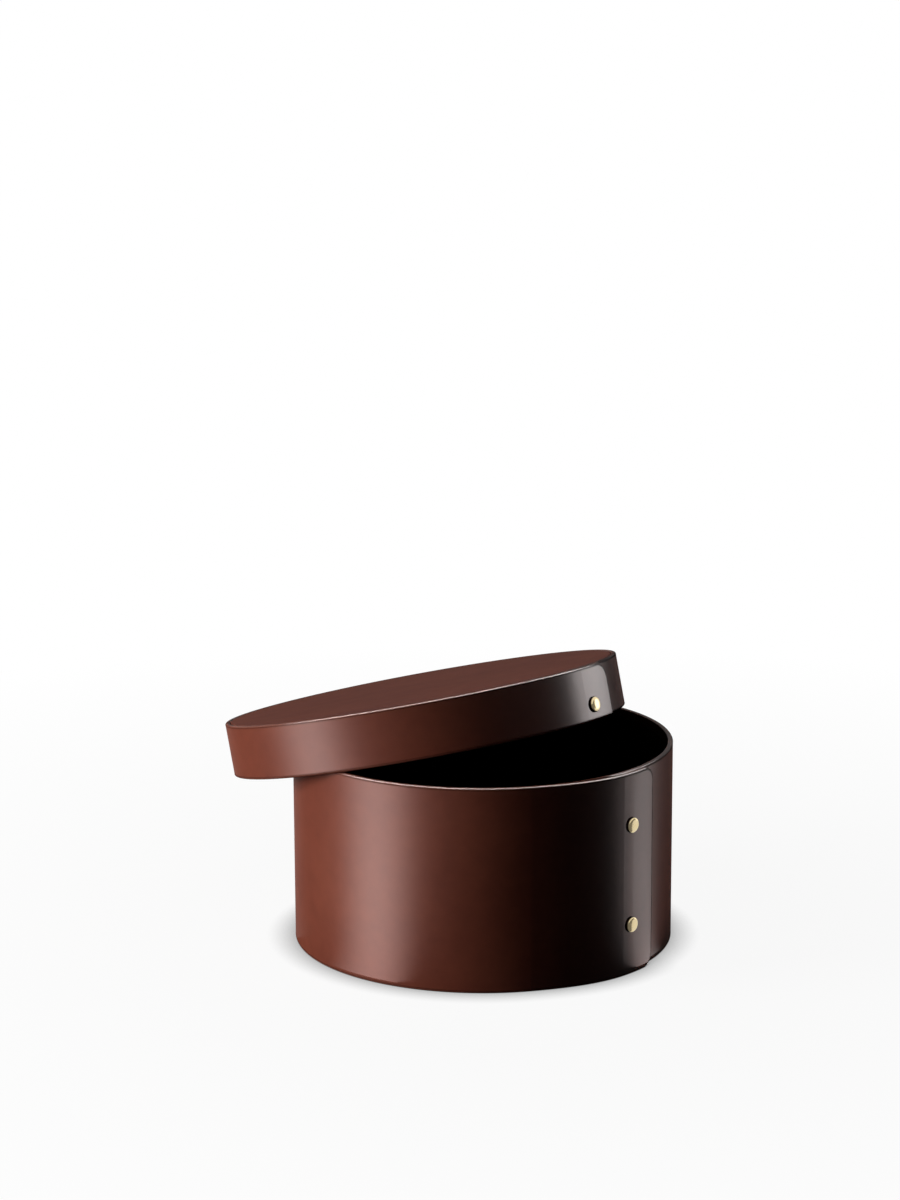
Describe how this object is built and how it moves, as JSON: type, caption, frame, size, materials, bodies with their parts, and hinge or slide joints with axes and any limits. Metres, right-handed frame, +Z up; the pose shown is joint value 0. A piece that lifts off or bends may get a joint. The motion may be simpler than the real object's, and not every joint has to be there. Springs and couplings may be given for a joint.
{
  "type": "collar box",
  "caption": "Round leather collar box, lined and stiffened, with lapped bands held by brass studs. Its slip-over lid lies tipped on the rim.",
  "frame": {"origin": "on the axis of the box, on the surface that the box stands on", "axes": "+Z up along the axis of the box, the front of the box towards -Y, its studs at the front right"},
  "size_m": [0.2091, 0.2064, 0.134],
  "materials": {
    "leather": "satin",
    "board": "matte",
    "lining": "matte",
    "brass": "polished"
  },
  "bodies": {
    "box": {"wall_band": "leather", "base_disc": "leather", "base_board": "board", "wall_lining": "lining", "floor_lining": "lining", "upper_stud": "brass", "upper_stud_back": "brass", "lower_stud": "brass", "lower_stud_back": "brass"},
    "lid": {"lid_band": "leather", "lid_top": "leather", "lid_board": "board", "lid_lining": "lining", "lid_stud": "brass", "lid_stud_back": "brass"}
  },
  "joints": [
    {"name": "lid_lift", "type": "slide", "parent": "box", "child": "lid", "axis": [0, 0, 1], "range_m": [0, 0.06]}
  ]
}
